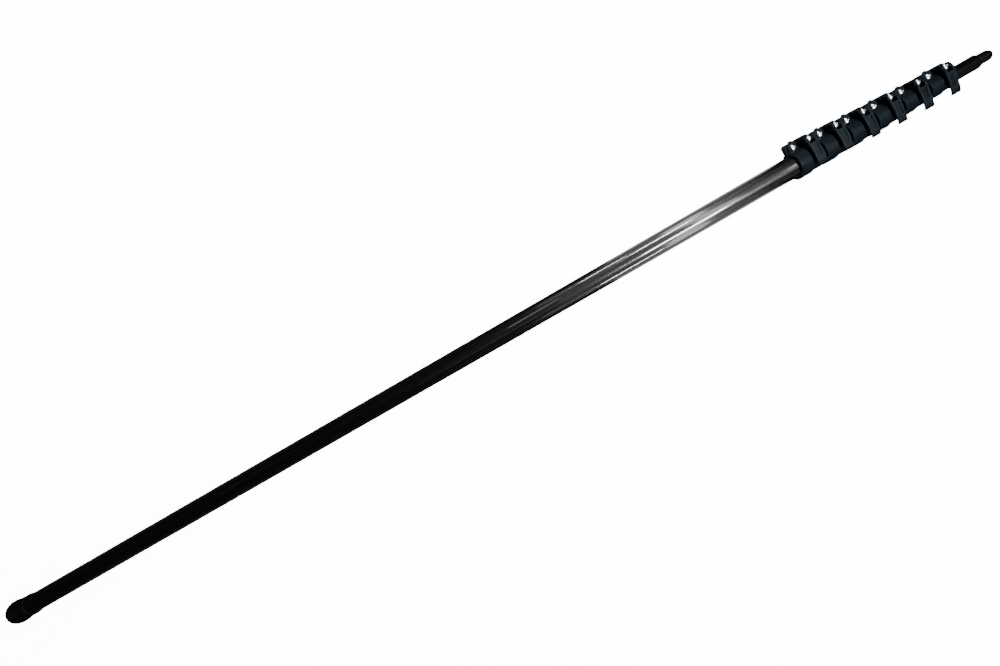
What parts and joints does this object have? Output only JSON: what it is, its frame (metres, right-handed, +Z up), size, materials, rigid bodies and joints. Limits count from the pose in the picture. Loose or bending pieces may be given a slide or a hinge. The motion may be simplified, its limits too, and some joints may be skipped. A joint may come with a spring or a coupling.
{
  "type": "telescopic window cleaning pole",
  "caption": "Collapsed telescopic cleaning pole: nested carbon tubes, each held by a forked cam-lever clamp, with a ball-shaped rubber base cap and a plain tip spigot.",
  "frame": {"origin": "centre of the bounding box's bottom, on the surface that the collapsed pole lies on", "axes": "+X along the pole towards its tip; +Y towards the clamps' ears; +Z up, towards the levers"},
  "size_m": [1.989, 0.0666, 0.0476],
  "materials": {
    "carbon_tube": "clear-coated carbon fibre, glossy, with fine lengthwise grain",
    "clamp_nylon": "matte black glass-filled nylon",
    "lever_nylon": "matte black nylon, slightly polished on the rims",
    "cap_rubber": "soft matte black rubber",
    "tip_plastic": "satin black plastic",
    "bright_steel": "bright stainless steel"
  },
  "bodies": {
    "section_1": {"base_cap": "cap_rubber", "section_1_tube": "carbon_tube", "clamp_1_body": "clamp_nylon", "clamp_1_cam_pin": "bright_steel", "clamp_1_cam_bolt": "bright_steel", "clamp_1_fixed_screw": "bright_steel", "clamp_1_nuts": "bright_steel"},
    "section_2": {"section_2_tube": "carbon_tube", "clamp_2_body": "clamp_nylon", "clamp_2_cam_pin": "bright_steel", "clamp_2_cam_bolt": "bright_steel", "clamp_2_fixed_screw": "bright_steel", "clamp_2_nuts": "bright_steel"},
    "section_3": {"section_3_tube": "carbon_tube", "clamp_3_body": "clamp_nylon", "clamp_3_cam_pin": "bright_steel", "clamp_3_cam_bolt": "bright_steel", "clamp_3_fixed_screw": "bright_steel", "clamp_3_nuts": "bright_steel"},
    "section_4": {"section_4_tube": "carbon_tube", "clamp_4_body": "clamp_nylon", "clamp_4_cam_pin": "bright_steel", "clamp_4_cam_bolt": "bright_steel", "clamp_4_fixed_screw": "bright_steel", "clamp_4_nuts": "bright_steel"},
    "section_5": {"section_5_tube": "carbon_tube", "clamp_5_body": "clamp_nylon", "clamp_5_cam_pin": "bright_steel", "clamp_5_cam_bolt": "bright_steel", "clamp_5_fixed_screw": "bright_steel", "clamp_5_nuts": "bright_steel"},
    "section_6": {"section_6_tube": "carbon_tube", "clamp_6_body": "clamp_nylon", "clamp_6_cam_pin": "bright_steel", "clamp_6_cam_bolt": "bright_steel", "clamp_6_fixed_screw": "bright_steel", "clamp_6_nuts": "bright_steel"},
    "section_7": {"section_7_tube": "carbon_tube", "tip_spigot": "tip_plastic"},
    "lever_1": {"clamp_1_lever": "lever_nylon"},
    "lever_2": {"clamp_2_lever": "lever_nylon"},
    "lever_3": {"clamp_3_lever": "lever_nylon"},
    "lever_4": {"clamp_4_lever": "lever_nylon"},
    "lever_5": {"clamp_5_lever": "lever_nylon"},
    "lever_6": {"clamp_6_lever": "lever_nylon"}
  },
  "joints": [
    {"name": "section_2_slide", "type": "slide", "parent": "section_1", "child": "section_2", "axis": [1, 0, 0], "range_m": [0, 1.4]},
    {"name": "section_3_slide", "type": "slide", "parent": "section_2", "child": "section_3", "axis": [1, 0, 0], "range_m": [0, 1.4]},
    {"name": "section_4_slide", "type": "slide", "parent": "section_3", "child": "section_4", "axis": [1, 0, 0], "range_m": [0, 1.4]},
    {"name": "section_5_slide", "type": "slide", "parent": "section_4", "child": "section_5", "axis": [1, 0, 0], "range_m": [0, 1.4]},
    {"name": "section_6_slide", "type": "slide", "parent": "section_5", "child": "section_6", "axis": [1, 0, 0], "range_m": [0, 1.4]},
    {"name": "section_7_slide", "type": "slide", "parent": "section_6", "child": "section_7", "axis": [1, 0, 0], "range_m": [0, 1.4]},
    {"name": "lever_1_hinge", "type": "hinge", "parent": "section_1", "child": "lever_1", "pos_m": [0.697, 0.02087, 0.0377], "axis": [-1, 0, 0], "range_deg": [0, 115]},
    {"name": "lever_2_hinge", "type": "hinge", "parent": "section_2", "child": "lever_2", "pos_m": [0.741, 0.01807, 0.0372], "axis": [-1, 0, 0], "range_deg": [0, 115]},
    {"name": "lever_3_hinge", "type": "hinge", "parent": "section_3", "child": "lever_3", "pos_m": [0.785, 0.01507, 0.0367], "axis": [-1, 0, 0], "range_deg": [0, 115]},
    {"name": "lever_4_hinge", "type": "hinge", "parent": "section_4", "child": "lever_4", "pos_m": [0.829, 0.01307, 0.0362], "axis": [-1, 0, 0], "range_deg": [0, 115]},
    {"name": "lever_5_hinge", "type": "hinge", "parent": "section_5", "child": "lever_5", "pos_m": [0.873, 0.01147, 0.0357], "axis": [-1, 0, 0], "range_deg": [0, 115]},
    {"name": "lever_6_hinge", "type": "hinge", "parent": "section_6", "child": "lever_6", "pos_m": [0.917, 0.01087, 0.0352], "axis": [-1, 0, 0], "range_deg": [0, 115]}
  ]
}
